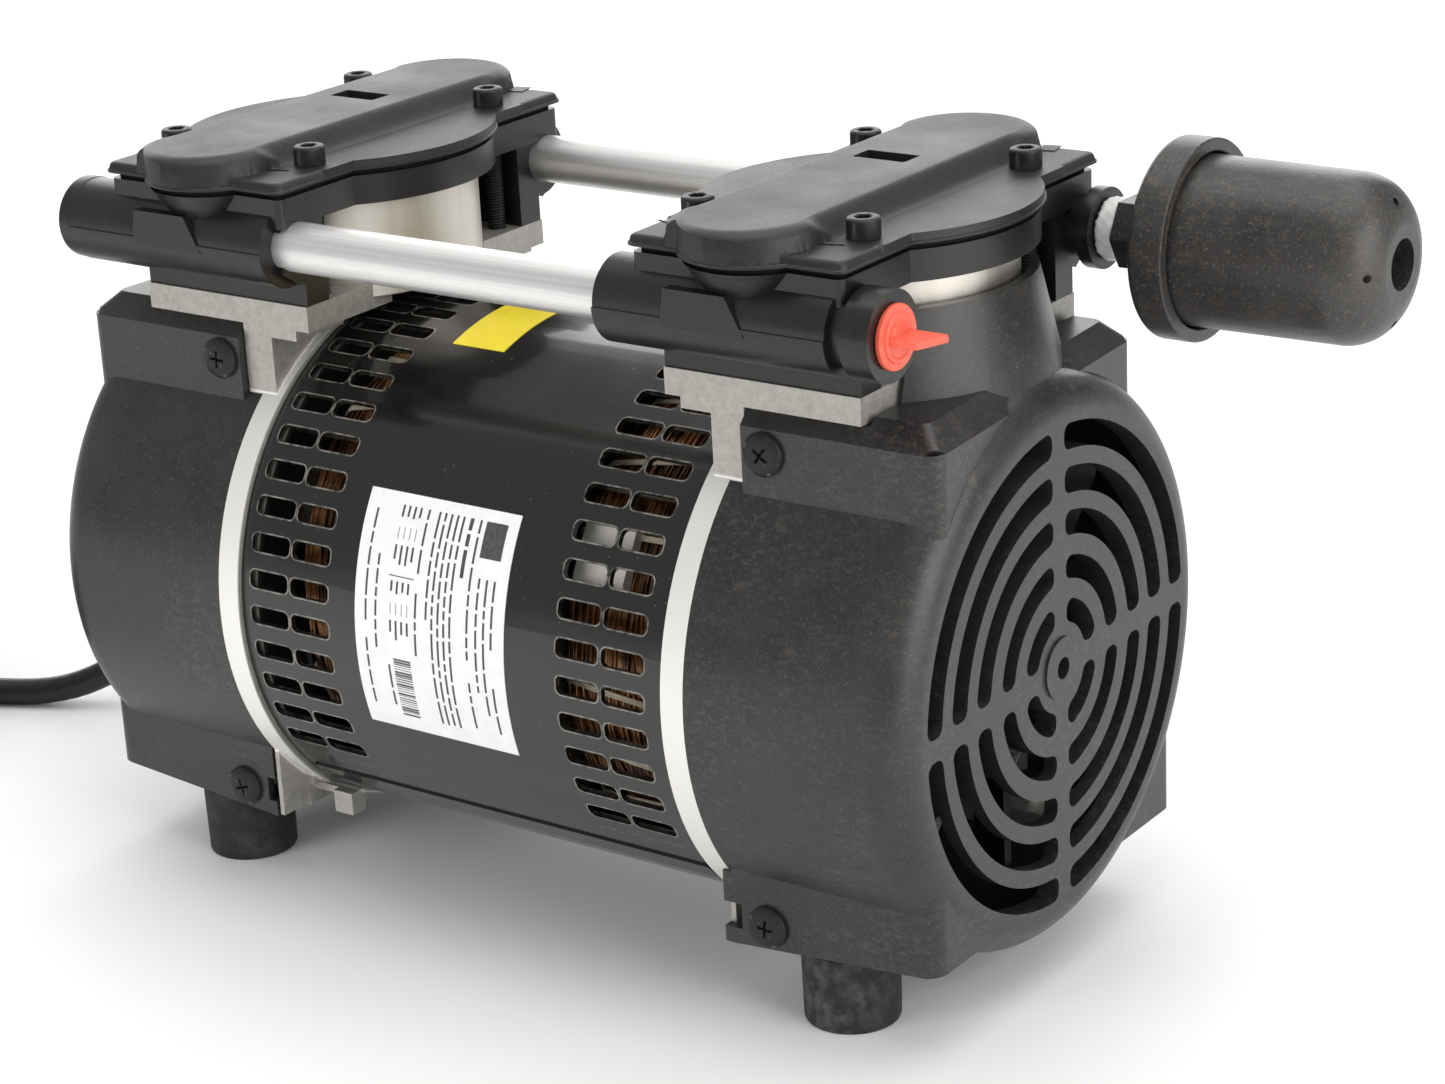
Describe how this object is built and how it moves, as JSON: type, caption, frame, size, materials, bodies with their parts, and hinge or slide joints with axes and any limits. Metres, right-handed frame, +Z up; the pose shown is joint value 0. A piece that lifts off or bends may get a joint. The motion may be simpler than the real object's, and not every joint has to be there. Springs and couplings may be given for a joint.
{
  "type": "rocking piston vacuum pump",
  "caption": "Oil-free rocking-piston vacuum pump on a slotted motor, with crossover tubes, fan covers, inlet filter, rubber feet and mains cord.",
  "frame": {"origin": "centre of the four feet's bolt pattern, on the surface the feet stand on", "axes": "+X along the motor shaft towards the inlet filter, -Y the front with the rating label, +Z up"},
  "size_m": [0.5251, 0.2092, 0.2011],
  "materials": {
    "shell_black": "gloss black stove enamel over sheet steel",
    "lamination_steel": "stacked electrical steel",
    "copper": "varnished magnet wire",
    "cast_aluminium": "as cast, light grey",
    "cover_plastic": "grainy satin moulding",
    "screw_black": "black oxide",
    "machined_aluminium": "turned",
    "head_plastic": "glass-filled satin moulding",
    "gasket_rubber": "matte",
    "tube_aluminium": "drawn, satin",
    "red_plastic": "soft semi-gloss",
    "white_tape": "thread seal tape",
    "filter_plastic": "mottled satin moulding",
    "filter_felt": "pressed felt",
    "foot_rubber": "chalky matte",
    "zinc_steel": "zinc plated",
    "label_white": "printed film",
    "label_yellow": "printed film",
    "shaft_steel": "ground",
    "fan_plastic": "moulded",
    "ptfe": "filled ptfe, matte",
    "spring_steel": "polished strip",
    "cord_pvc": "satin jacket",
    "white_plastic": "satin"
  },
  "bodies": {
    "housing": {"motor_shell": "shell_black", "stator_core": "lamination_steel", "stator_windings": "copper", "thermal_protector": "white_plastic", "through_bolts": "zinc_steel", "end_bracket_left": "cast_aluminium", "end_bracket_right": "cast_aluminium", "shaft_bearings": "shaft_steel", "fan_cover_left": "cover_plastic", "fan_cover_right": "cover_plastic", "cover_screws": "screw_black", "cylinder_left": "machined_aluminium", "cylinder_right": "machined_aluminium", "head_body_left": "head_plastic", "head_body_right": "head_plastic", "head_gasket_left": "gasket_rubber", "head_gasket_right": "gasket_rubber", "head_cover_left": "head_plastic", "head_cover_right": "head_plastic", "head_screws": "screw_black", "crossover_tube_front": "tube_aluminium", "crossover_tube_back": "tube_aluminium", "port_caps": "head_plastic", "filter_nipple": "filter_plastic", "thread_tape": "white_tape", "filter_base": "filter_plastic", "rubber_feet": "foot_rubber", "foot_studs": "zinc_steel", "rating_label": "label_white", "caution_label": "label_yellow", "strain_relief": "cord_pvc", "power_cord": "cord_pvc", "cord_coil": "cord_pvc", "mains_plug": "cord_pvc"},
    "port_plug": {"exhaust_plug": "red_plastic"},
    "filter_can": {"filter_canister": "filter_plastic", "filter_element": "filter_felt"},
    "rotor": {"rotor_shaft": "shaft_steel", "rotor_core": "lamination_steel", "rotor_end_rings": "cast_aluminium", "fan_left": "fan_plastic", "fan_right": "fan_plastic", "eccentric_left": "shaft_steel", "eccentric_right": "shaft_steel"},
    "rod_right": {"con_rod_right": "cast_aluminium", "rod_bearing_right": "shaft_steel", "piston_cup_right": "ptfe", "cup_retainer_right": "cast_aluminium", "retainer_screw_right": "zinc_steel"},
    "exhaust_flap_right": {"exhaust_reed_right": "spring_steel"},
    "intake_flap_right": {"intake_reed_right": "spring_steel"},
    "rod_left": {"con_rod_left": "cast_aluminium", "rod_bearing_left": "shaft_steel", "piston_cup_left": "ptfe", "cup_retainer_left": "cast_aluminium", "retainer_screw_left": "zinc_steel"},
    "exhaust_flap_left": {"exhaust_reed_left": "spring_steel"},
    "intake_flap_left": {"intake_reed_left": "spring_steel"}
  },
  "joints": [
    {"name": "rotor_spin", "type": "hinge", "parent": "housing", "child": "rotor", "pos_m": [0, 0, 0.082], "axis": [1, 0, 0], "continuous": true},
    {"name": "rod_right_pivot", "type": "hinge", "parent": "rotor", "child": "rod_right", "pos_m": [0.0832, 0, 0.077], "axis": [1, 0, 0], "continuous": true},
    {"name": "rod_left_pivot", "type": "hinge", "parent": "rotor", "child": "rod_left", "pos_m": [-0.0832, 0, 0.087], "axis": [1, 0, 0], "continuous": true},
    {"name": "port_plug_pull", "type": "slide", "parent": "housing", "child": "port_plug", "axis": [1, 0, 0], "range_m": [0, 0.03]},
    {"name": "filter_can_pull", "type": "slide", "parent": "housing", "child": "filter_can", "axis": [1, 0, 0], "range_m": [0, 0.08]},
    {"name": "exhaust_flap_right_lift", "type": "hinge", "parent": "housing", "child": "exhaust_flap_right", "pos_m": [0.0832, -0.03, 0.18952], "axis": [1, 0, 0], "range_deg": [0, 6], "stiffness_Nm_per_rad": 0.02},
    {"name": "intake_flap_right_drop", "type": "hinge", "parent": "housing", "child": "intake_flap_right", "pos_m": [0.0832, 0.027, 0.18198], "axis": [1, 0, 0], "range_deg": [0, 5], "stiffness_Nm_per_rad": 0.02},
    {"name": "exhaust_flap_left_lift", "type": "hinge", "parent": "housing", "child": "exhaust_flap_left", "pos_m": [-0.0832, -0.03, 0.18952], "axis": [1, 0, 0], "range_deg": [0, 6], "stiffness_Nm_per_rad": 0.02},
    {"name": "intake_flap_left_drop", "type": "hinge", "parent": "housing", "child": "intake_flap_left", "pos_m": [-0.0832, 0.027, 0.18198], "axis": [1, 0, 0], "range_deg": [0, 5], "stiffness_Nm_per_rad": 0.02}
  ],
  "couplings": [
    {"joint": "rod_right_pivot", "follows": "rotor_spin", "ratio": -1},
    {"joint": "rod_left_pivot", "follows": "rotor_spin", "ratio": -1}
  ]
}
